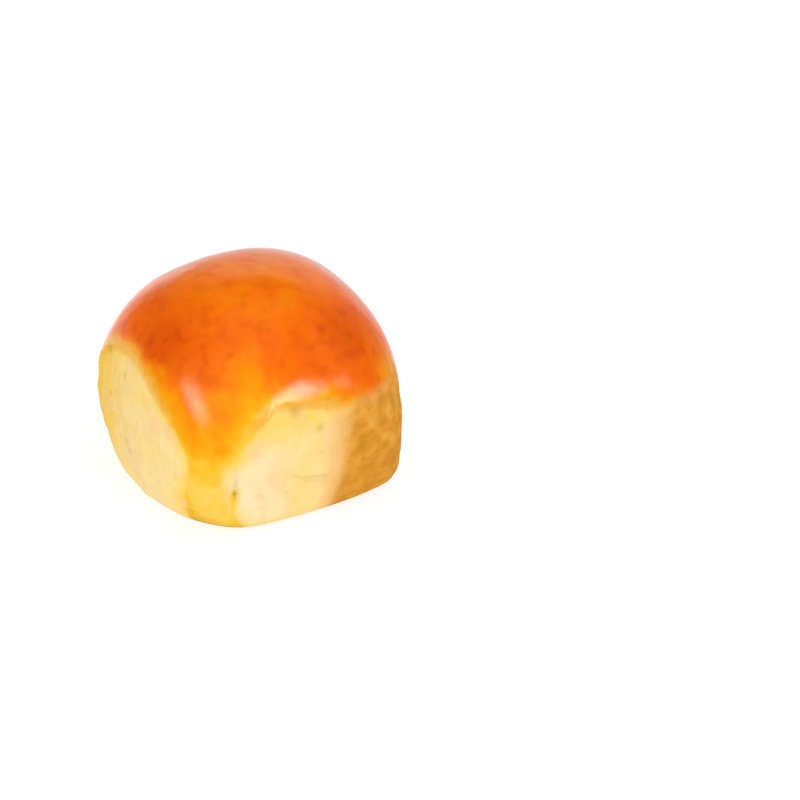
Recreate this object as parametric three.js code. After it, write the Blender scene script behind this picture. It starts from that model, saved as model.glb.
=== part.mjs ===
import * as THREE from 'three';
import { mergeVertices } from 'three/addons/utils/BufferGeometryUtils.js';

// A pull-apart sweet bread roll, in millimetres with +Z up.
// It is one solid: a domed crust, four torn sides and a flat baked base.
// The origin is at the middle of the base, and the torn sides face along X and Y.

// The roll as it would have risen on its own.
const HEIGHT = 56;
const WAIST_HEIGHT = 19;
const DOME_OFFSET = { x: 1.1, y: 1.4 }; // the dome stands a little off the middle of the base
const PLAN_POWER = 2.13; // 2 is a round plan, and more is a squarer one
const SHOULDER_POWER = 2; // how full the dome is between crown and waist
const CROWN_POWER = 1.8; // how flat the crown is
const TUCK_POWER = 1.2; // how straight the sides draw in below the waist
const CORNERS = [
  { angle: 225, waistRadius: 38.9, footRadius: 29.5 }, // front left
  { angle: 315, waistRadius: 35.2, footRadius: 34.6 }, // front right
  { angle: 45, waistRadius: 37.3, footRadius: 33 }, // back right
  { angle: 135, waistRadius: 39.4, footRadius: 30 }, // back left
];

// The torn sides. Each is nearly a plane, at a distance from the roll's axis.
// Lean is its slope outwards with height, and turn its slope outwards to its own right.
const TORN_SIDES = [
  { facing: 270, distance: 30.3, lean: 0.09, turn: -0.01 }, // front
  { facing: 180, distance: 33, lean: -0.03, turn: -0.03 }, // left
  { facing: 90, distance: 30.6, lean: 0.04, turn: 0.03 }, // back
  { facing: 0, distance: 32.9, lean: -0.02, turn: -0.04 }, // right
];
const TEAR_MIDDLE_HEIGHT = 22;
const TEAR_CROWN = 4.5; // how far a torn side falls back at CROWN_REACH from its middle
const CROWN_REACH = { across: 30, up: 28 };

// Slow unevenness of the hand-shaped dough: height, length and direction of each swell.
const SWELLS = [
  { height: 0.2, length: 43, direction: new THREE.Vector3(0.8, 0.5, 0.33), phase: 0.6 },
  { height: 0.16, length: 29, direction: new THREE.Vector3(-0.45, 0.7, 0.55), phase: 2.1 },
  { height: 0.12, length: 19, direction: new THREE.Vector3(0.3, -0.6, 0.74), phase: 4 },
];

// Softness of the edges, as the reach of a smooth maximum.
const TORN_EDGE_SOFTNESS = 1;
const BASE_EDGE_SOFTNESS = 2;
const BASE_CUT = 0.5; // the sides are rounded to a level this far below the flat base

// How finely the surface is divided.
const STEPS_PER_FACE = 24;
const CENTRE = new THREE.Vector3(0, 0, 0.42 * HEIGHT);
const SEARCH_RADIUS = 80;
const SEARCH_HALVINGS = 32;

const degrees = THREE.MathUtils.degToRad;

function smoothMaximum(values, softness) {
  const largest = Math.max(...values);
  const sum = values.reduce((total, value) => total + Math.exp((value - largest) / softness), 0);
  return largest + softness * Math.log(sum);
}

// The waist and foot radius in the point's direction, blended from the nearest corners.
function radiiTowards(point) {
  const angle = Math.atan2(point.y, point.x);
  let share = 0;
  let waist = 0;
  let foot = 0;
  for (const corner of CORNERS) {
    const weight = Math.max(0, Math.cos(angle - degrees(corner.angle))) ** 2;
    share += weight;
    waist += weight * corner.waistRadius;
    foot += weight * corner.footRadius;
  }
  return { waist: waist / share, foot: foot / share };
}

// Each of these is below zero inside its shape and above zero outside, in about millimetres.
function outsideRisenRoll(point) {
  const { waist, foot } = radiiTowards(point);
  const sideways = Math.abs(point.x - DOME_OFFSET.x);
  const forwards = Math.abs(point.y - DOME_OFFSET.y);
  const reach = (sideways ** PLAN_POWER + forwards ** PLAN_POWER) ** (1 / PLAN_POWER);
  const scale = 0.9 * waist;
  if (point.z > WAIST_HEIGHT) {
    const rise = (point.z - WAIST_HEIGHT) / (HEIGHT - WAIST_HEIGHT);
    const dome = rise ** CROWN_POWER + (reach / waist) ** SHOULDER_POWER;
    return scale * (dome ** (1 / SHOULDER_POWER) - 1);
  }
  const drop = Math.min(1, (WAIST_HEIGHT - point.z) / WAIST_HEIGHT);
  const tucked = waist - (waist - foot) * drop ** TUCK_POWER;
  return scale * (reach / tucked - 1);
}

function outsideTornSide(point, side) {
  const facing = degrees(side.facing);
  const outward = point.x * Math.cos(facing) + point.y * Math.sin(facing);
  const across = point.y * Math.cos(facing) - point.x * Math.sin(facing);
  const up = point.z - TEAR_MIDDLE_HEIGHT;
  const fallBack = TEAR_CROWN * ((across / CROWN_REACH.across) ** 2 + (up / CROWN_REACH.up) ** 2);
  return outward - (side.distance + side.lean * up + side.turn * across - fallBack);
}

function swellAt(point) {
  let height = 0;
  for (const swell of SWELLS) {
    const turns = point.dot(swell.direction) / swell.length;
    height += swell.height * Math.sin(2 * Math.PI * turns + swell.phase);
  }
  return height;
}

function outsideRoll(point) {
  const tears = TORN_SIDES.map((side) => outsideTornSide(point, side));
  const sides = smoothMaximum([outsideRisenRoll(point), ...tears], TORN_EDGE_SOFTNESS) - swellAt(point);
  const rounded = smoothMaximum([sides, -(point.z + BASE_CUT)], BASE_EDGE_SOFTNESS);
  return Math.max(rounded, -point.z);
}

// The roll's surface seen from its centre in one direction, found by halving.
function surfacePoint(direction) {
  let inner = 0;
  let outer = SEARCH_RADIUS;
  const point = new THREE.Vector3();
  for (let halving = 0; halving < SEARCH_HALVINGS; halving += 1) {
    const middle = (inner + outer) / 2;
    point.copy(CENTRE).addScaledVector(direction, middle);
    if (outsideRoll(point) < 0) {
      inner = middle;
    } else {
      outer = middle;
    }
  }
  point.z = Math.max(0, point.z);
  return point;
}

// A cube's grid, spread evenly over the directions and moved out to the roll's surface.
function rollGeometry() {
  const grid = new THREE.BoxGeometry(2, 2, 2, STEPS_PER_FACE, STEPS_PER_FACE, STEPS_PER_FACE);
  grid.deleteAttribute('normal');
  grid.deleteAttribute('uv');
  const geometry = mergeVertices(grid);
  const position = geometry.getAttribute('position');
  const direction = new THREE.Vector3();
  const spread = (value) => Math.tan((value * Math.PI) / 4);
  for (let index = 0; index < position.count; index += 1) {
    direction.fromBufferAttribute(position, index);
    direction.set(spread(direction.x), spread(direction.y), spread(direction.z)).normalize();
    const point = surfacePoint(direction);
    position.setXYZ(index, point.x, point.y, point.z);
  }
  geometry.computeVertexNormals();
  return geometry;
}

const crust = new THREE.MeshStandardMaterial({ color: 0xf07808, roughness: 0.3, metalness: 0 });
const breadRoll = new THREE.Mesh(rollGeometry(), crust);
breadRoll.name = 'bread_roll';

const sweetBread = new THREE.Group();
sweetBread.add(breadRoll);

export default sweetBread;
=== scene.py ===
"""A pull-apart sweet bread roll: glossy orange crust, pale torn crumb and a flat golden base."""

import math

import bpy
import numpy as np
from mathutils import Matrix, Vector
from mathutils.kdtree import KDTree


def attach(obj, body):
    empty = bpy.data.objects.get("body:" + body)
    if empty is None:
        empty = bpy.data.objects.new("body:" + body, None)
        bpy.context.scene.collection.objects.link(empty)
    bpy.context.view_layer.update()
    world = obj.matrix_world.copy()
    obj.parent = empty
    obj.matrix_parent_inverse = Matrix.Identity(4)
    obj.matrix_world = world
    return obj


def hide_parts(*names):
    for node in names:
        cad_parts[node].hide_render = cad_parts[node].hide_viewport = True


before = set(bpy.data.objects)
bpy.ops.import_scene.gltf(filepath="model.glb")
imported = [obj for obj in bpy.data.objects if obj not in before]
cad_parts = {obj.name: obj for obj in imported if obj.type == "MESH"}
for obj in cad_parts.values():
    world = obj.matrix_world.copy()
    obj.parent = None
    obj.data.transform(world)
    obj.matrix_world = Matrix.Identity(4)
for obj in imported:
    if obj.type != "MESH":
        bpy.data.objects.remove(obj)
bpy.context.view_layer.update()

# ---------------------------------------------------------------- the roll's form, in millimetres

MM = 0.001
HEIGHT = 56
WAIST_HEIGHT = 19
DOME_OFFSET = (1.1, 1.4)  # the dome stands a little off the middle of the base
PLAN_POWER = 2.13  # 2 is a round plan, and more is a squarer one
SHOULDER_POWER = 2  # how full the dome is between crown and waist
CROWN_POWER = 1.8  # how flat the crown is
TUCK_POWER = 1.2  # how straight the sides draw in below the waist
DISTANCE_SCALE = 0.9  # makes shares of the waist's radius into about millimetres from the surface
# The angle round the roll of each corner, its radius at the waist and its radius at the foot.
CORNERS = ((225, 38.9, 29.5), (315, 35.2, 34.6), (45, 37.3, 33), (135, 39.4, 30))

# Each torn side faces an angle round the roll and is nearly a plane, at a distance from the axis.
# Lean is its slope outwards with height, and turn its slope outwards to its own right.
# Its edge is an arch: left and right are the angles from its facing where the arch springs,
# and crest is the angle where it is highest. A power of 2 makes a quarter of an ellipse.
# Fade is how wide the paler rim of the crust is outside the edge, as angles and widths, and soak
# how wide the yellower rim of the crumb is inside it, low on the side and high on it, all against
# EDGE_TONES. Heart is the tone of the crumb, as angles and tones, and high its tone near the top.
# Ledge is how far the crust stands over the crumb, and glaze how far its gloss reaches onto it.
# Flare is how many degrees the arch draws in by at the foot, and how suddenly it does.
TORN_SIDES = (
    dict(facing=270, distance=30.3, lean=0.09, turn=-0.01,
         left=-41, right=39, crest=-20, crest_height=35.5, left_power=1.05, right_power=1.6,
         fade=((-28, 3.4), (-20, 1.7), (-14, 1.3)), soak=(0.6, 1),
         heart=((-26, 0), (-8, 0.27)), high=0.45, ledge=0.2, glaze=1.6, flare=(8, 3)),
    dict(facing=180, distance=33, lean=-0.03, turn=-0.03,
         left=-43, right=38.2, crest=-8, crest_height=38.3, left_power=2.2, right_power=1.6,
         fade=((0, 0.7), (12, 1.2), (24, 1.8)), soak=(1.3, 0.8),
         heart=((-26, 0.5), (-12, 0.3), (0, 0.2)), high=0.3, ledge=0.35, glaze=0.6,
         flare=(8.5, 1.3)),
    dict(facing=90, distance=30.6, lean=0.04, turn=0.03,
         left=-38, right=40, crest=6, crest_height=38, left_power=1.6, right_power=1.5,
         fade=((-20, 1.6), (10, 0.9)), soak=(0.8, 1.2),
         heart=((-20, 0.1), (10, 0.3)), high=0.4, ledge=0.35, glaze=0.6, flare=(5, 1.6)),
    dict(facing=0, distance=32.9, lean=-0.02, turn=-0.04,
         left=-37, right=39, crest=-4, crest_height=36.5, left_power=1.5, right_power=1.4,
         fade=((0, 1), (24, 2)), soak=(0.7, 1),
         heart=((-20, 0.3), (10, 0.12)), high=0.42, ledge=0.3, glaze=0.6, flare=(5, 1.6)),
)
SPRING_HEIGHT = 20.5  # where the arches' sides end and their tops begin
TEAR_MIDDLE_HEIGHT = 22
TEAR_CROWN = 4.5  # how far a torn side falls back at CROWN_REACH from its middle, across and up
CROWN_REACH = (30, 28)

# Height, length, direction and phase of the slow swells in the dough.
SWELLS = (
    (0.2, 43, (0.8, 0.5, 0.33), 0.6),
    (0.16, 29, (-0.45, 0.7, 0.55), 2.1),
    (0.12, 19, (0.3, -0.6, 0.74), 4),
)
TORN_EDGE_SOFTNESS = 1
BASE_EDGE_SOFTNESS = 2
BASE_CUT = 0.5  # the sides are rounded to a level this far below the flat base

# How finely the surface is divided, and how it is found.
STEPS_PER_FACE = 128
CENTRE = np.array([0, 0, 0.42 * HEIGHT])
SEARCH_RADIUS = 80
SEARCH_HALVINGS = 30
NORMAL_STEP = 0.02


def smooth_maximum(values, softness):
    """The largest of the values, blended where two of them are within about the softness."""
    scaled = np.stack(values) / softness
    largest = scaled.max(axis=0)
    return softness * (largest + np.log(np.exp(scaled - largest).sum(axis=0)))


def smooth_step(low, high, value):
    """Zero at low and one at high, which may be the smaller of the two."""
    share = np.clip((value - low) / (high - low), 0, 1)
    return share * share * (3 - 2 * share)


def band(rising, falling, value):
    """One between two smooth steps, each given as its two ends."""
    return smooth_step(*rising, value) * smooth_step(*falling, value)


def blend(first, second, share):
    """The first value at a share of 0, and the second at 1."""
    return first + share * (second - first)


def outside_risen_roll(points):
    """Below zero inside the roll as it would have risen on its own, and above zero outside."""
    x, y, z = points.T
    angle = np.arctan2(y, x)
    corner_angles, waists, feet = zip(*CORNERS)
    towards = np.stack([np.cos(angle - math.radians(corner)) for corner in corner_angles])
    weights = np.clip(towards, 0, None) ** 2
    weights /= weights.sum(axis=0)
    waist = weights.T @ waists
    foot = weights.T @ feet
    sideways = np.abs(x - DOME_OFFSET[0])
    forwards = np.abs(y - DOME_OFFSET[1])
    reach = (sideways ** PLAN_POWER + forwards ** PLAN_POWER) ** (1 / PLAN_POWER)
    rise = np.clip((z - WAIST_HEIGHT) / (HEIGHT - WAIST_HEIGHT), 0, None)
    dome = (rise ** CROWN_POWER + (reach / waist) ** SHOULDER_POWER) ** (1 / SHOULDER_POWER)
    drop = np.clip((WAIST_HEIGHT - z) / WAIST_HEIGHT, 0, 1)
    tucked = reach / (waist - (waist - foot) * drop ** TUCK_POWER)
    return DISTANCE_SCALE * waist * (np.where(z > WAIST_HEIGHT, dome, tucked) - 1)


def outside_torn_side(points, side):
    """Below zero behind a torn side's nearly flat face, and above zero in front of it."""
    facing = math.radians(side["facing"])
    x, y, z = points.T
    outward = x * math.cos(facing) + y * math.sin(facing)
    across = y * math.cos(facing) - x * math.sin(facing)
    up = z - TEAR_MIDDLE_HEIGHT
    fall_back = TEAR_CROWN * ((across / CROWN_REACH[0]) ** 2 + (up / CROWN_REACH[1]) ** 2)
    return outward - (side["distance"] + side["lean"] * up + side["turn"] * across - fall_back)


def swell_at(points):
    swell = 0
    for height, length, way, phase in SWELLS:
        swell = swell + height * np.sin(2 * np.pi * (points @ way) / length + phase)
    return swell


def outside_roll(points):
    z = points[:, 2]
    tears = [outside_torn_side(points, side) for side in TORN_SIDES]
    sides = smooth_maximum([outside_risen_roll(points), *tears], TORN_EDGE_SOFTNESS) - swell_at(points)
    rounded = smooth_maximum([sides, -(z + BASE_CUT)], BASE_EDGE_SOFTNESS)
    return np.maximum(rounded, -z)


def cube_grid(steps):
    """The points and quads of a cube from -1 to 1, with a grid on each face and shared edges."""
    ticks = np.linspace(-1, 1, steps + 1)
    u, v = np.meshgrid(ticks, ticks, indexing="ij")
    one = np.ones_like(u)
    faces = ((one, u, v), (-one, v, u), (v, one, u), (u, -one, v), (u, v, one), (v, u, -one))
    points = np.concatenate([np.stack(face, axis=-1).reshape(-1, 3) for face in faces])
    corner = np.arange((steps + 1) ** 2).reshape(steps + 1, steps + 1)
    around = (corner[:-1, :-1], corner[1:, :-1], corner[1:, 1:], corner[:-1, 1:])
    quads = np.stack(around, axis=-1).reshape(-1, 4)
    quads = np.concatenate([quads + face * corner.size for face in range(len(faces))])
    # Rounding makes the points on a shared edge equal, so that they become one.
    points, index = np.unique(np.round(points, 9), axis=0, return_inverse=True)
    return points, index.reshape(-1)[quads]


def roll_surface():
    """Points on the roll's smooth surface, found by halving along rays from its centre, and quads."""
    grid, quads = cube_grid(STEPS_PER_FACE)
    directions = np.tan(grid * np.pi / 4)
    directions /= np.linalg.norm(directions, axis=1, keepdims=True)
    inner = np.zeros(len(directions))
    outer = np.full(len(directions), float(SEARCH_RADIUS))
    for _ in range(SEARCH_HALVINGS):
        middle = (inner + outer) / 2
        inside = outside_roll(CENTRE + directions * middle[:, None]) < 0
        inner = np.where(inside, middle, inner)
        outer = np.where(inside, outer, middle)
    points = CENTRE + directions * inner[:, None]
    points[:, 2] = np.clip(points[:, 2], 0, None)
    return points, quads


def surface_normals(points):
    steps = NORMAL_STEP * np.eye(3)
    slopes = [outside_roll(points + step) - outside_roll(points - step) for step in steps]
    normals = np.stack(slopes, axis=1)
    return normals / np.linalg.norm(normals, axis=1, keepdims=True)


# ---------------------------------------------------------------- noise

X_PRIME = 73856093
Y_PRIME = 19349663
Z_PRIME = 83492791
SEED_PRIME = 2654435761
MIXING_PRIME = 2246822519
LOW_16_BITS = 0xFFFF
LOW_32_BITS = 0xFFFFFFFF
HASHES = 65536
ARROWS = 256
NOISE_GAIN = 1.6
SMALLEST_PIT = 0.45  # as a share of the largest


def hashed(cells, seed):
    """A whole number below HASHES for each lattice cell."""
    x, y, z = (cells.astype(np.int64) & LOW_16_BITS).T
    bits = x * X_PRIME ^ y * Y_PRIME ^ z * Z_PRIME ^ seed * SEED_PRIME
    bits = (bits ^ (bits >> 15)) * MIXING_PRIME & LOW_32_BITS
    return (bits ^ (bits >> 13)) & LOW_16_BITS


def noise(points, size, seed):
    """Smooth noise from about -1 to 1 with lumps about as large as size, which may differ by axis."""
    places = points / size
    cells = np.floor(places)
    within = places - cells
    fade = within ** 3 * (within * (within * 6 - 15) + 10)
    arrows = np.random.default_rng(seed).normal(size=(ARROWS, 3))
    arrows /= np.linalg.norm(arrows, axis=1, keepdims=True)
    value = np.zeros(len(points))
    for corner in np.ndindex(2, 2, 2):
        arrow = arrows[hashed(cells + corner, seed) % ARROWS]
        share = np.prod(np.where(corner, fade, 1 - fade), axis=1)
        value += share * np.einsum("ij,ij->i", arrow, within - corner)
    return NOISE_GAIN * value


def pits(points, size, share, radius, seed):
    """Depth from 0 to 1 of round pits of up to the given radius. Size is that of the lattice cells,
    and share how many of the cells have a pit."""
    places = points / size
    cells = np.floor(places)
    reach = radius / size
    depth = np.zeros(len(points))
    for step in np.ndindex(3, 3, 3):
        cell = cells + np.array(step) - 1
        jitter = np.stack([hashed(cell, seed + axis) / HASHES for axis in range(3)], axis=1)
        present = hashed(cell, seed + 3) < share * HASHES
        own_reach = reach * blend(SMALLEST_PIT, 1, hashed(cell, seed + 4) / HASHES)
        away = np.linalg.norm(places - cell - jitter, axis=1) / own_reach
        depth = np.maximum(depth, present * np.clip(1 - away ** 2, 0, 1))
    return depth


def layered(points, layers):
    """A sum of layers of noise, each a height, a size and a seed."""
    return sum(height * noise(points, size, seed) for height, size, seed in layers)


def pitted(points, layers):
    """A sum of layers of pits, each a depth in millimetres and then what pits() takes."""
    return sum(deep * pits(points, *layer) for deep, *layer in layers)


def near(points, places):
    """One at the middle of each place, and falling to zero over about twice its radius."""
    strongest = np.zeros(len(points))
    for middle, radius in places:
        away = np.linalg.norm(points - np.array(middle), axis=1) / radius
        strongest = np.maximum(strongest, np.exp(-away ** 2))
    return strongest


def read_off(stops, value):
    """The value read off stops, each a place and a value, with straight lines between them."""
    places, values = zip(*stops)
    return np.interp(value, places, values)


# ---------------------------------------------------------------- where crust ends and crumb starts

RAGGED_EDGE = ((0.6, 7, 11), (0.42, 2.6, 12), (0.2, 1.2, 13))


def angle_round(points):
    """Each point's angle round the roll, in degrees."""
    return np.degrees(np.arctan2(points[:, 1], points[:, 0]))


def angle_from(points, side):
    """Each point's angle round the roll from a torn side's facing, in degrees."""
    return (angle_round(points) - side["facing"] + 180) % 360 - 180


def arch_value(points, side):
    """One at the middle of a torn side and zero on its arched edge."""
    along = angle_from(points, side)
    z = points[:, 2]
    right = along > side["crest"]
    reach = np.where(right, side["right"] - side["crest"], side["crest"] - side["left"])
    drawn_in, suddenness = side["flare"]
    flare = drawn_in * np.clip(1 - z / SPRING_HEIGHT, 0, 1) ** suddenness
    power = np.where(right, side["right_power"], side["left_power"])
    out = np.abs(along - side["crest"]) / (reach - flare)
    up = np.clip(z - SPRING_HEIGHT, 0, None) / (side["crest_height"] - SPRING_HEIGHT)
    return 1 - (out ** power + up ** power) ** (1 / power)


def zero_line(points, quads, value):
    """Points where the value passes zero on the sides of the quads."""
    start = quads.ravel()
    end = np.roll(quads, -1, axis=1).ravel()
    crossing = value[start] * value[end] < 0
    start = start[crossing]
    end = end[crossing]
    share = value[start] / (value[start] - value[end])
    return points[start] + share[:, None] * (points[end] - points[start])


def distance_to(points, targets):
    """How far each point is from the nearest target."""
    tree = KDTree(len(targets))
    for index, target in enumerate(targets):
        tree.insert(target, index)
    tree.balance()
    return np.array([tree.find(point)[2] for point in points])


def torn_depth(points, quads, side):
    """How far each point is inside a torn side's edge, in millimetres; below zero on the crust."""
    value = arch_value(points, side)
    away = distance_to(points, zero_line(points, quads, value))
    return np.sign(value) * away + layered(points, RAGGED_EDGE)


def of_nearest_side(key, depths):
    """What each point's torn side says under a key of TORN_SIDES."""
    return np.array([side[key] for side in TORN_SIDES])[depths.argmax(axis=0)]


# ---------------------------------------------------------------- relief

# Lumps, strands and dimples are layers of noise, and pores and bubbles are layers of pits.
CRUMB_LUMPS = ((0.34, 9, 21), (0.22, 3.8, 22))
CRUMB_PORES = ((0.3, 2.6, 0.4, 0.9, 31), (0.18, 1.5, 0.4, 0.6, 37))
LONG_STRANDS = ((0.14, (1.8, 1.8, 5), 23),)
FINE_STRANDS = ((0.08, 1.1, 24),)
STRAND_SWAY = 2.5  # how far the long strands stray, over lumps of STRAND_SWAY_SIZE
STRAND_SWAY_SIZE = 8
STRAND_SWAY_SEEDS = (25, 26, 27)
POROUS_LUMPS = ((0.3, 4, 81), (0.1, 1.6, 82))
POROUS_PORES = ((0.4, 3.2, 0.6, 1.1, 83), (0.2, 1.7, 0.5, 0.6, 88))
CRUST_DIMPLES = ((0.1, 11, 41), (0.035, 3.2, 42))
CRUST_BUBBLES = ((0.2, 9, 0.3, 0.8, 51),)

# How much painted shade the crumb gets in its pores, and how much less on its strands and lumps.
PORE_SHADE = 1.4
STRAND_SHADE = 1.2
POROUS_PORE_SHADE = 1.8
POROUS_LUMP_SHADE = 0.8

# Burst bubbles in the crust, each a place in millimetres and a radius.
BLISTERS = (
    ((-20.3, -13.1, 46.2), 0.9), ((-23.6, -6.1, 46.1), 1.3), ((-27.6, 0, 42.4), 1.2),
    ((-27.7, -6.3, 41.7), 1.1), ((-15.2, -10.4, 50.7), 1.1), ((-16.1, -18.6, 45.4), 0.9),
    ((9.2, -16.3, 49.6), 1.2), ((0.1, -21.4, 47.6), 1.4), ((-6.2, -18.5, 49.4), 1.3),
    ((6.4, -20.5, 47.5), 1.2), ((8.7, -22.5, 45.2), 1.3), ((1.7, -23.7, 45.4), 1.1),
)
BLISTER_DEPTH = 0.15

# Creases in the front torn side: the ends, each an angle from the facing and a height, then the
# half width and the depth. The first four are a slit, with a yellow streak from it to the foot.
# The creases' darker colour is painted shade, growing with their depth.
CREASES = (
    ((-35, 20.5), (-35.2, 17), 1.2, 0.15),
    ((-35.2, 17), (-35.3, 14.5), 1.1, 0.24),
    ((-35.4, 14.2), (-35.7, 11.6), 0.6, 0.36),
    ((-35.5, 13.4), (-35.6, 12.8), 0.45, 0.58),
    ((-9.8, 15), (7.9, 12.4), 0.6, 0.2),
    ((-2.8, 12.8), (8, 10.8), 0.6, 0.15),
)
CREASE_SWAY = ((0.3, 3, 98),)
STREAK = ((-36.1, 13.2), (-37.4, 7.5))
STREAK_WIDTH = 1.6
STREAK_TONE = 0.6
STREAK_DEPTH = 0.25
SIDE_RADIUS = 33  # about how far the front side is from the axis: it turns angles into millimetres

# Pairs of heights, or of depths inside the torn edge: nothing at the first and all at the second.
RELIEF_HEIGHTS = (0, 3)
LEDGE_HEIGHTS = (8, 22)
LEDGE_EDGE = (-0.4, 1.4)
CRUMB_EDGE = (-0.3, 0.5)
OLIVE_MARK_DEPTH = 0.12


def crumb_relief(points):
    """The torn crumb's height over its smooth side, and its painted shade in the pores, from 0 to 1.
    """
    sway = np.stack([noise(points, STRAND_SWAY_SIZE, seed) for seed in STRAND_SWAY_SEEDS], axis=1)
    strands = layered(points + STRAND_SWAY * sway, LONG_STRANDS) + layered(points, FINE_STRANDS)
    pores = pitted(points, CRUMB_PORES)
    painted_pore_shade = np.clip(PORE_SHADE * pores - STRAND_SHADE * strands, 0, 1)
    return layered(points, CRUMB_LUMPS) + strands - pores, painted_pore_shade


def porous_relief(points):
    """The same for the coarse, sponge-like crumb on the front right corner."""
    lumps = layered(points, POROUS_LUMPS)
    pores = pitted(points, POROUS_PORES)
    painted_pore_shade = np.clip(POROUS_PORE_SHADE * pores - POROUS_LUMP_SHADE * lumps, 0, 1)
    return lumps - pores, painted_pore_shade


def crust_relief(points):
    """Height of the baked skin over its smooth form: shallow dimples and a few burst bubbles."""
    dimples = layered(points, CRUST_DIMPLES)
    bubbles = pitted(points, CRUST_BUBBLES)
    return dimples - bubbles - BLISTER_DEPTH * near(points, BLISTERS)


def near_line(points, start, end, width):
    """One on a line over the front torn side, and falling to zero over about twice the width."""
    degree = SIDE_RADIUS * math.pi / 180
    front = TORN_SIDES[0]
    places = np.stack([angle_from(points, front) * degree, points[:, 2]], axis=1)
    origin = np.array([start[0] * degree, start[1]])
    way = np.array([end[0] * degree, end[1]]) - origin
    share = np.clip((places - origin) @ way / (way @ way), 0, 1)
    away = np.linalg.norm(places - origin - share[:, None] * way, axis=1)
    return np.exp(-(away / width) ** 2)


def streak_at(points):
    return near_line(points, *STREAK, STREAK_WIDTH)


def crease_depth(points):
    swayed = points + layered(points, CREASE_SWAY)[:, None]
    creases = [deep * near_line(swayed, start, end, width) for start, end, width, deep in CREASES]
    return np.max(creases, axis=0)


def ledge_at(points, depths):
    """How far the crumb lies under the crust's level."""
    ledge = of_nearest_side("ledge", depths) * smooth_step(*LEDGE_HEIGHTS, points[:, 2])
    return ledge * smooth_step(*LEDGE_EDGE, depths.max(axis=0))


# ---------------------------------------------------------------- how the bread is baked, and its painted shade

# Tone runs from 0, the palest crumb, to 1, the deepest crust. On the strips of crust that run down
# the corners it depends on height. Near a torn edge it depends on the distance inside the edge.
STRIP_TONES = (
    (0, 0.55), (5, 0.55), (9, 0.51), (12, 0.47), (19, 0.55),
    (24, 0.7), (28, 0.79), (33, 0.83), (37, 0.92), (41, 0.97), (45, 1),
)
STRIP_MIDDLES = ((20, 45), (27, 51), (36, 49))  # heights, and angles past each side's facing
STRIP_WIDTH = (6, 20)  # the angles from its middle over which a strip ends
EDGE_TONES = (
    (-6, 1), (-4, 0.93), (-2, 0.84), (-0.9, 0.73), (0, 0.57),
    (1.2, 0.47), (2.5, 0.33), (4, 0.24), (6, 0.12), (9, 0),
)
SIDE_TONE_SOFTNESS = 0.03
TONE_SOFTNESS = 0.02
UNEVEN_TONE = ((0.07, 6, 91), (0.05, 2.4, 92), (0.02, 1.2, 93))
STEADY_TONES = (0.7, 1)  # from the first tone to the second, the unevenness drops by STEADIER
STEADIER = 0.6
FOOT_TONE = 0.38
CROWN_PALER = 0.065

# Pairs of heights: nothing at the first and all at the second.
SOAK_HEIGHTS = (16, 24)
UPPER_HEIGHTS = (18, 32)
FOOT_HEIGHTS = (5, 1)
CROWN_HEIGHTS = (47, 54)
RIM_HEIGHTS = (28, 33)
SPOT_HEIGHTS = (20, 26)
# The corner's painted shade grows darker between these heights, towards the bottom.
CORNER_SHADE_HEIGHTS = (20, 8)
# The base's colour reaches up the foot to the first height, partly as painted shade along the foot.
BASE_HEIGHTS = (0.9, 0)

# Depths inside the torn edge where the rim, and the small spots on the crust, begin and end.
RIM_BAND = ((-2.2, -0.8), (2.8, 0.4))
SPOT_BAND = ((-2.6, -1.8), (-0.4, -1.2))
SPOTS = (3, 0.7, 1.1, 95)  # what pits() takes
GLAZE_EDGE = 0.1  # how far inside the torn edge the gloss begins to fade

# The front right corner is porous and painted darker golden up to a height, between two angles
# round the roll: painted shade with warm bounced light in it, and a painted penumbra of pinker
# crumb beside it. Each band has where it begins, in degrees past the first angle, and where
# it ends, in degrees past the second. Top heights are over the top, and the sways are noise.
SHADED_CORNER = dict(start=286.2, end=327, top=31, band=((-6, 5), (5, -5)),
                  penumbra_band=((-12, -4), (12, 4)), top_heights=(3, -3),
                  start_sway=((1.6, 6, 71),), top_sway=((1.5, 6, 72),))

# Places, in millimetres, where the crust is browner, each with its radius.
# The second, on the dome's front right, is partly browner crust and partly painted shade.
BROWN_AND_SHADE_PATCHES = (((-27, -4, 43), 12), ((13, -21, 45), 8), ((6, 25, 44), 13), ((27, 6, 42), 10))
PATCH_BROWN = 0.9
BLISTER_BROWN = 0.5
UNEVEN_BROWN = ((0.2, 10, 61),)
# Places where the crumb or its rim is painted a darker olive, each with its radius.
# The first, just under the front side's crust, is painted shade.
OLIVE_MARKS = (
    ((-5.4, -29.4, 33.2), 1.8), ((1.3, -29.6, 27.3), 1.4), ((4.6, -29, 33.8), 1.2),
    ((-32.3, 3.3, 16), 1.1), ((-32, 2, 14), 1.2), ((-31.6, 7.5, 20), 0.9), ((-29.5, 17, 33.7), 1.6),
    ((-31.1, 6, 31.9), 1.2), ((-31.5, 13, 24), 1), ((-29.8, -7.8, 35.8), 0.8),
    ((-29.7, -11.5, 33.4), 0.9), ((-27, -22, 6), 1.1),
)


def strip_tone(points):
    """The tone of the strips of crust that run down the corners; one away from them."""
    z = points[:, 2]
    away = np.abs((angle_round(points) - read_off(STRIP_MIDDLES, z) + 45) % 90 - 45)
    return blend(read_off(STRIP_TONES, z), 1, smooth_step(*STRIP_WIDTH, away))


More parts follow.
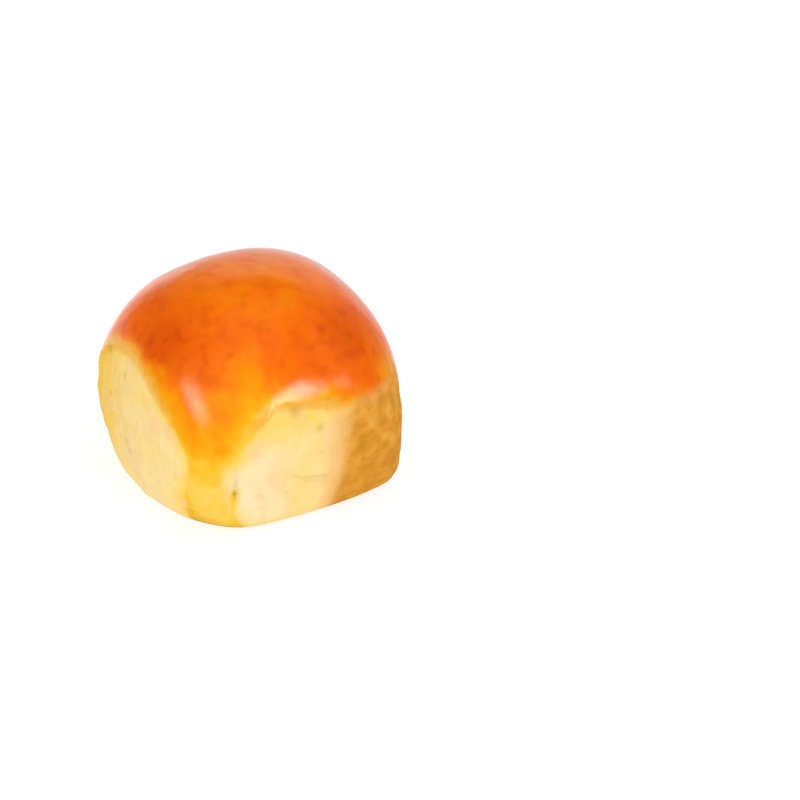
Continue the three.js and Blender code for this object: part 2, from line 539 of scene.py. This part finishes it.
def side_tone(points, depth, side):
    """The tone that one torn side gives to its crumb, and to the crust near its edge."""
    z = points[:, 2]
    along = angle_from(points, side)
    low, high = side["soak"]
    soak = blend(low, high, smooth_step(*SOAK_HEIGHTS, z))
    fade = read_off(side["fade"], along)
    by_edge = read_off(EDGE_TONES, np.where(depth < 0, depth / fade, depth / soak))
    heart = read_off(side["heart"], along)
    high_up = side["high"] * smooth_step(*UPPER_HEIGHTS, z)
    foot = FOOT_TONE * smooth_step(*FOOT_HEIGHTS, z)
    return smooth_maximum([by_edge, heart, high_up, foot], SIDE_TONE_SOFTNESS)


def tone_at(points, depths):
    """How pale or deeply baked each point is, from 0 to 1."""
    sides = [side_tone(points, depth, side) for depth, side in zip(depths, TORN_SIDES)]
    palest = np.min(sides, axis=0)
    crown = CROWN_PALER * smooth_step(*CROWN_HEIGHTS, points[:, 2])
    tone = -smooth_maximum([-strip_tone(points), -palest], TONE_SOFTNESS) - crown
    steadiness = 1 - STEADIER * smooth_step(*STEADY_TONES, tone)
    tone = np.maximum(tone, STREAK_TONE * streak_at(points))
    return np.clip(tone + steadiness * layered(points, UNEVEN_TONE), 0, 1)


def shaded_corner_at(points):
    """One on the porous corner painted with shade, and one on the pinker painted penumbra beside it.
    """
    angle = angle_round(points) % 360
    past_start = angle + layered(points, SHADED_CORNER["start_sway"]) - SHADED_CORNER["start"]
    past_end = past_start + SHADED_CORNER["start"] - SHADED_CORNER["end"]
    over_top = points[:, 2] - SHADED_CORNER["top"] + layered(points, SHADED_CORNER["top_sway"])
    low = smooth_step(*SHADED_CORNER["top_heights"], over_top)
    starting, ending = SHADED_CORNER["band"]
    corner_shade = smooth_step(*starting, past_start) * smooth_step(*ending, past_end) * low
    starting, ending = SHADED_CORNER["penumbra_band"]
    penumbra = smooth_step(*starting, past_start) * smooth_step(*ending, past_end) * low
    return corner_shade, penumbra


def glaze_at(depths, shaded_corner):
    """One on the glossy crust, and zero on the crumb and on the porous front right corner."""
    onto_crumb = (depths.max(axis=0) - GLAZE_EDGE) / of_nearest_side("glaze", depths)
    return smooth_step(1, 0, onto_crumb) * (1 - shaded_corner)


def brown_at(points):
    """How brown the crust is where it is deeply baked."""
    patches = PATCH_BROWN * near(points, BROWN_AND_SHADE_PATCHES)
    return patches + BLISTER_BROWN * near(points, BLISTERS) + layered(points, UNEVEN_BROWN)


def olive_marks_at(points, depth):
    """One on the olive marks, and on the small spots along the crust's side of the torn edges."""
    beside_edge = band(*SPOT_BAND, depth) * smooth_step(*SPOT_HEIGHTS, points[:, 2])
    return np.maximum(near(points, OLIVE_MARKS), beside_edge * pits(points, *SPOTS))


def relief_and_looks(points, depths):
    """How far each point stands out, in millimetres, and the numbers that its material reads."""
    depth = depths.max(axis=0)
    z = points[:, 2]
    shaded_corner, painted_penumbra = shaded_corner_at(points)
    crumb = smooth_step(*CRUMB_EDGE, depth)
    crease = crease_depth(points)
    olive_mark = olive_marks_at(points, depth)

    torn, torn_pore_shade = crumb_relief(points)
    porous, porous_pore_shade = porous_relief(points)
    rough = crumb * torn - ledge_at(points, depths) + (1 - crumb) * crust_relief(points)
    sunk = crease + STREAK_DEPTH * streak_at(points) + OLIVE_MARK_DEPTH * olive_mark
    relief = blend(rough, porous, shaded_corner) - sunk

    looks = dict(
        tone=tone_at(points, depths),
        crumb=np.maximum(crumb, shaded_corner),
        shaded_corner=shaded_corner,
        glaze=glaze_at(depths, shaded_corner),
        brown=brown_at(points),
        # The corner's painted shade, darker towards the bottom.
        corner_shade=smooth_step(*CORNER_SHADE_HEIGHTS, z) * shaded_corner,
        painted_pore_shade=blend(crumb * torn_pore_shade, porous_pore_shade, shaded_corner),
        crease=crease,
        olive_mark=olive_mark,
        rim=band(*RIM_BAND, depth) * smooth_step(*RIM_HEIGHTS, z),
        painted_penumbra=painted_penumbra,
        base=smooth_step(*BASE_HEIGHTS, z),
    )
    return relief, looks


def make_roll():
    points, quads = roll_surface()
    depths = np.stack([torn_depth(points, quads, side) for side in TORN_SIDES])
    relief, looks = relief_and_looks(points, depths)
    lift = relief * smooth_step(*RELIEF_HEIGHTS, points[:, 2])
    points = points + surface_normals(points) * lift[:, None]
    points[:, 2] = np.clip(points[:, 2], 0, None)
    return make_mesh("sweet_bread_roll", points, quads, looks)


def make_mesh(name, points, quads, looks):
    mesh = bpy.data.meshes.new(name)
    mesh.from_pydata(points * MM, [], quads.tolist())
    mesh.polygons.foreach_set("use_smooth", np.ones(len(quads), bool))
    for look, values in looks.items():
        point_attribute = mesh.attributes.new(look, "FLOAT", "POINT")
        point_attribute.data.foreach_set("value", values.astype(np.float32))
    piece = bpy.data.objects.new(name, mesh)
    bpy.context.scene.collection.objects.link(piece)
    return piece


# ---------------------------------------------------------------- materials

TONE_COLOURS = (
    (0, (253, 229, 180)),
    (0.15, (252, 225, 160)),
    (0.3, (251, 219, 134)),
    (0.42, (253, 214, 108)),
    (0.52, (252, 207, 80)),
    (0.62, (250, 194, 44)),
    (0.7, (249, 176, 16)),
    (0.78, (252, 160, 5)),
    (0.85, (252, 147, 4)),
    (0.93, (250, 119, 5)),
    (1, (248, 104, 4)),
)
BROWN_CRUST = (205, 66, 3)
BLUSH_CRUMB = (251, 206, 146)
# The pinker painted penumbra beside the front right corner's painted shade.
PENUMBRA_COLOUR = (249, 195, 120)
RIM_COLOUR = (246, 172, 62)
# The colour of the painted shade in the crumb's pores.
CRUMB_PORE_SHADE = (232, 184, 92)
OLIVE_MARK_COLOUR = (206, 152, 34)
# Painted shade in the slit and creases.
CREASE_SHADE_COLOUR = (165, 115, 15)
# The front right corner's painted shade, warm golden, varied by its grain.
CORNER_SHADE_COLOURS = (
    (0, (208, 136, 16)),
    (0.35, (220, 147, 26)),
    (0.7, (229, 157, 44)),
    (1, (235, 167, 62)),
)
# The colour of the painted shade in the pores of the front right corner.
CORNER_PORE_SHADE = (198, 126, 10)
BASE_COLOURS = ((0, (176, 96, 22)), (0.5, (206, 132, 48)), (1, (222, 158, 78)))

CRUMB_ROUGHNESS = 0.85
GLAZE_ROUGHNESS = 0.15
BREAD_SPECULAR = 0.2
FINE_GRAIN = 0.6
BUMP_HEIGHT = 0.25
CRUMB_BUMP = 0.5
GLAZE_BUMP = 0.04

FLOOR_COLOUR = (0.3, 0.3, 0.3, 1)
FLOOR_ROUGHNESS = 0.8
FLOOR_SPECULAR = 0.2
FLOOR_GLOW = 0.79
WHITE = (1, 1, 1, 1)


def srgb(red, green, blue):
    """A colour given as 0 to 255 screen values, in Blender's linear numbers."""
    channels = [c / 255 for c in (red, green, blue)]
    return (*[c / 12.92 if c <= 0.04045 else ((c + 0.055) / 1.055) ** 2.4 for c in channels], 1)


def add(tree, kind, inputs=(), **settings):
    """Adds a shader node. Each input is a value, or a socket to link from."""
    node = tree.nodes.new("ShaderNode" + kind)
    for name, value in settings.items():
        setattr(node, name, value)
    for name, value in dict(inputs).items():
        if isinstance(value, bpy.types.NodeSocket):
            tree.links.new(value, node.inputs[name])
        else:
            node.inputs[name].default_value = value
    return node


def attribute(tree, name):
    return add(tree, "Attribute", attribute_name=name).outputs["Fac"]


def ramp(tree, factor, stops):
    """A colour that runs through the stops, each a place from 0 to 1 and a screen colour."""
    node = add(tree, "ValToRGB", {"Fac": factor})
    elements = node.color_ramp.elements
    while len(elements) < len(stops):
        elements.new(0.5)
    for element, (place, colour) in zip(elements, stops):
        element.position = place
        element.color = srgb(*colour)
    return node.outputs["Color"]


def spread(tree, value, low, high, to_low=0.0, to_high=1.0):
    """The value from low to high, spread from to_low to to_high and held there at the ends."""
    inputs = {"Value": value, "From Min": low, "From Max": high, "To Min": to_low, "To Max": to_high}
    return add(tree, "MapRange", inputs, interpolation_type="SMOOTHSTEP").outputs["Result"]


def strength(tree, name, low, high, most):
    """An attribute from low to high, spread from 0 to most."""
    return spread(tree, attribute(tree, name), low, high, 0, most)


def mixed(tree, factor, first, second):
    """A mix of two colours. The numbers are those of a Mix node's sockets for colours."""
    return add(tree, "Mix", {0: factor, 6: first, 7: second}, data_type="RGBA").outputs[2]


def total(tree, first, second):
    return add(tree, "Math", {0: first, 1: second}, operation="ADD").outputs[0]


def product(tree, first, second):
    return add(tree, "Math", {0: first, 1: second}, operation="MULTIPLY").outputs[0]


def grain(tree, place, lump, detail=2.0, roughness=0.5):
    """Noise from 0 to 1 with lumps of about the given size in millimetres."""
    inputs = {"Vector": place, "Scale": 1 / (lump * MM), "Detail": detail, "Roughness": roughness}
    return add(tree, "TexNoise", inputs).outputs["Fac"]


def crust_colour(tree, place, toned):
    mottle = spread(tree, grain(tree, place, 3.6, 1), 0.45, 0.75, 0, 0.3)
    brown = total(tree, strength(tree, "brown", 0, 1.2, 0.6), mottle)
    deep = strength(tree, "tone", 0.8, 1, 1)
    return mixed(tree, product(tree, brown, deep), toned, srgb(*BROWN_CRUST))


# Painted shade on the porous front right corner, darker towards the bottom.
def shaded_corner_colour(tree, place):
    light = spread(tree, grain(tree, place, 3.4, 3), 0.3, 0.7)
    dimmed = spread(tree, attribute(tree, "corner_shade"), 0, 1, 1, 0.6)
    colour = ramp(tree, product(tree, light, dimmed), CORNER_SHADE_COLOURS)
    # Painted shade in the corner's pores.
    return mixed(tree, strength(tree, "painted_pore_shade", 0.2, 1, 0.6), colour, srgb(*CORNER_PORE_SHADE))


def crumb_colour(tree, place, toned):
    blotches = spread(tree, grain(tree, place, 6, 2), 0.46, 0.72, 0, 0.6)
    colour = mixed(tree, blotches, toned, srgb(*BLUSH_CRUMB))
    # The painted penumbra beside the corner's painted shade.
    colour = mixed(tree, strength(tree, "painted_penumbra", 0, 1, 0.85), colour, srgb(*PENUMBRA_COLOUR))
    # Painted shade in the crumb's pores, less on its strands.
    return mixed(tree, strength(tree, "painted_pore_shade", 0.1, 1, 0.5), colour, srgb(*CRUMB_PORE_SHADE))


def base_colour(tree, place):
    return ramp(tree, spread(tree, grain(tree, place, 3, 4, 0.6), 0.3, 0.7), BASE_COLOURS)


def bread_colour(tree, place):
    toned = ramp(tree, attribute(tree, "tone"), TONE_COLOURS)
    crust = crust_colour(tree, place, toned)
    crumb = crumb_colour(tree, place, toned)
    colour = mixed(tree, attribute(tree, "crumb"), crust, crumb)
    colour = mixed(tree, strength(tree, "rim", 0, 1, 0.65), colour, srgb(*RIM_COLOUR))
    # The front right corner's painted shade.
    colour = mixed(tree, attribute(tree, "shaded_corner"), colour, shaded_corner_colour(tree, place))
    # Darker olive marks; the first, under the front side's crust, is painted shade.
    colour = mixed(tree, strength(tree, "olive_mark", 0, 1, 0.5), colour, srgb(*OLIVE_MARK_COLOUR))
    # Painted shade in the slit and creases, darkest where they are deepest.
    colour = mixed(tree, strength(tree, "crease", 0, 0.8, 0.9), colour, srgb(*CREASE_SHADE_COLOUR))
    # The baked base, reaching a little up the foot partly as painted shade.
    return mixed(tree, attribute(tree, "base"), colour, base_colour(tree, place))


def bread_material():
    material = bpy.data.materials.new("sweet_bread")
    material.use_nodes = True
    tree = material.node_tree
    shader = tree.nodes["Principled BSDF"]
    place = add(tree, "TexCoord").outputs["Object"]
    glaze = attribute(tree, "glaze")
    roughness = spread(tree, glaze, 0, 1, CRUMB_ROUGHNESS, GLAZE_ROUGHNESS)
    bumps = {
        "Height": grain(tree, place, FINE_GRAIN, 3, 0.6),
        "Strength": spread(tree, glaze, 0, 1, CRUMB_BUMP, GLAZE_BUMP),
        "Distance": BUMP_HEIGHT * MM,
    }
    tree.links.new(bread_colour(tree, place), shader.inputs["Base Color"])
    tree.links.new(roughness, shader.inputs["Roughness"])
    tree.links.new(add(tree, "Bump", bumps).outputs["Normal"], shader.inputs["Normal"])
    shader.inputs["Specular IOR Level"].default_value = BREAD_SPECULAR
    return material


def floor_material():
    material = bpy.data.materials.new("pale_floor")
    material.use_nodes = True
    shader = material.node_tree.nodes["Principled BSDF"]
    shader.inputs["Base Color"].default_value = FLOOR_COLOUR
    shader.inputs["Roughness"].default_value = FLOOR_ROUGHNESS
    shader.inputs["Specular IOR Level"].default_value = FLOOR_SPECULAR
    shader.inputs["Emission Color"].default_value = WHITE
    shader.inputs["Emission Strength"].default_value = FLOOR_GLOW
    return material


# ---------------------------------------------------------------- camera, stage and light

VIEW_AZIMUTH = -28.1
VIEW_ELEVATION = 28.9
VIEW_DISTANCE = 0.7
AIM_HEIGHT = 25 * MM
PIXELS_PER_METRE = 4167
PHOTO_SIZE = 800
ROLL_PIXEL = (254.4, 381.9)
SENSOR_WIDTH = 36

# Each fill and window has a name, an azimuth, an elevation, a width and a height in metres, and a
# radiance. A wall has layers instead, each a width, a height and a radiance.
FILLS = (
    ("fill_left", -74, 33, 0.9, 0.7, 1.33),
    ("fill_front", -15, 22, 1, 0.7, 0.7),
    ("fill_right", 60, 32, 0.8, 0.7, 1.03),
    ("fill_top", -28, 80, 0.8, 0.8, 1.42),
)
WINDOWS = (
    ("left_window", -77.5, 25, 0.41, 0.27, 14),
    ("front_window", 15, 10, 0.43, 0.5, 22.5),
    ("side_window", 47, 7, 0.22, 0.28, 4.5),
)
WALLS = (
    ("back_wall", 144, 5, ((1.74, 1.5, 0.17), (1.17, 1.42, 0.27), (0.8, 1.36, 0.45))),
    ("low_wall", 192, -11, ((0.95, 0.66, 0.45), (0.8, 0.46, 0.45))),
)
WINDOW_SIZES = (1.35, 1.05, 0.8, 0.5)
LIGHT_DISTANCE = 0.9
LAYER_GAP = 0.01
ROOM_LIGHT = 0.3
ROOM_IN_GLOSS = 0.08
FLOOR_REACH = 3


def direction(azimuth, elevation):
    """The way from the roll to a place. Azimuth 0 is in front of it, and 90 is to its right."""
    turn = math.radians(azimuth)
    rise = math.radians(elevation)
    return Vector((math.sin(turn) * math.cos(rise), -math.cos(turn) * math.cos(rise), math.sin(rise)))


def make_camera():
    """The photograph's view, turned so that the roll's middle falls on its own pixel."""
    back = direction(VIEW_AZIMUTH, VIEW_ELEVATION)
    right = Vector((0, 0, 1)).cross(back).normalized()
    up = back.cross(right)
    middle = Vector((0, 0, AIM_HEIGHT))
    place = middle + back * VIEW_DISTANCE
    aside = (PHOTO_SIZE / 2 - ROLL_PIXEL[0]) / PIXELS_PER_METRE
    above = (ROLL_PIXEL[1] - PHOTO_SIZE / 2) / PIXELS_PER_METRE
    aim = middle + right * aside + up * above
    data = bpy.data.cameras.new("camera")
    data.sensor_width = SENSOR_WIDTH
    data.lens = PIXELS_PER_METRE * SENSOR_WIDTH / PHOTO_SIZE * VIEW_DISTANCE
    camera = bpy.data.objects.new("camera", data)
    camera.location = place
    away = (place - aim).normalized()
    across = up.cross(away).normalized()
    axes = Matrix((across, away.cross(across), away)).transposed()
    camera.rotation_mode = "QUATERNION"
    camera.rotation_quaternion = axes.to_quaternion()
    bpy.context.scene.collection.objects.link(camera)
    bpy.context.scene.camera = camera


def make_panel(name, azimuth, elevation, width, height, radiance, shape="RECTANGLE", behind=0.0):
    """A flat light that faces the roll. Radiance is its brightness as seen from the roll."""
    data = bpy.data.lights.new(name, "AREA")
    data.shape = shape
    data.size = width
    data.size_y = height
    area = width * height * (1 if shape == "RECTANGLE" else math.pi / 4)
    data.energy = radiance * math.pi * area
    light = bpy.data.objects.new(name, data)
    out = direction(azimuth, elevation)
    light.location = Vector((0, 0, AIM_HEIGHT)) + out * (LIGHT_DISTANCE + behind)
    light.rotation_mode = "QUATERNION"
    light.rotation_quaternion = (-out).to_track_quat("-Z", "Y")
    light.visible_camera = False
    bpy.context.scene.collection.objects.link(light)
    return light


def make_window(name, azimuth, elevation, width, height, radiance):
    """A round light with a soft edge that only shows in gloss: ellipses close behind each other."""
    share = radiance / len(WINDOW_SIZES)
    for layer, size in enumerate(WINDOW_SIZES):
        place = (azimuth, elevation, size * width, size * height)
        panel = make_panel(name, *place, share, "ELLIPSE", layer * LAYER_GAP)
        panel.visible_diffuse = False


def make_wall(name, azimuth, elevation, layers):
    """A wide light with soft sides that only shows in gloss, in layers close behind each other."""
    for layer, (width, height, radiance) in enumerate(layers):
        place = (azimuth, elevation, width, height)
        panel = make_panel(name, *place, radiance, behind=layer * LAYER_GAP)
        panel.visible_diffuse = False


def make_lights():
    """Broad fills light the bread, and windows and pale walls only show in its glaze."""
    for fill in FILLS:
        make_panel(*fill).visible_glossy = False
    for window in WINDOWS:
        make_window(*window)
    for wall in WALLS:
        make_wall(*wall)


def make_room():
    """An even light from all round, which is dimmer in gloss."""
    room = bpy.data.worlds.new("soft_room")
    room.use_nodes = True
    tree = room.node_tree
    background = tree.nodes["Background"]
    background.inputs["Color"].default_value = WHITE
    in_gloss = add(tree, "LightPath").outputs["Is Glossy Ray"]
    strength_by_ray = spread(tree, in_gloss, 0, 1, ROOM_LIGHT, ROOM_IN_GLOSS)
    tree.links.new(strength_by_ray, background.inputs["Strength"])
    bpy.context.scene.world = room


def make_floor():
    reach = FLOOR_REACH
    corners = [(-reach, -reach, 0), (reach, -reach, 0), (reach, reach, 0), (-reach, reach, 0)]
    mesh = bpy.data.meshes.new("floor")
    mesh.from_pydata(corners, [], [(0, 1, 2, 3)])
    floor = bpy.data.objects.new("floor", mesh)
    floor.data.materials.append(floor_material())
    floor.visible_glossy = False
    bpy.context.scene.collection.objects.link(floor)


def set_colours():
    view = bpy.context.scene.view_settings
    view.view_transform = "Standard"
    view.look = "None"


make_camera()
make_lights()
make_room()
make_floor()
set_colours()
roll = make_roll()
roll.data.materials.append(bread_material())
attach(roll, "root")
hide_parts("bread_roll")
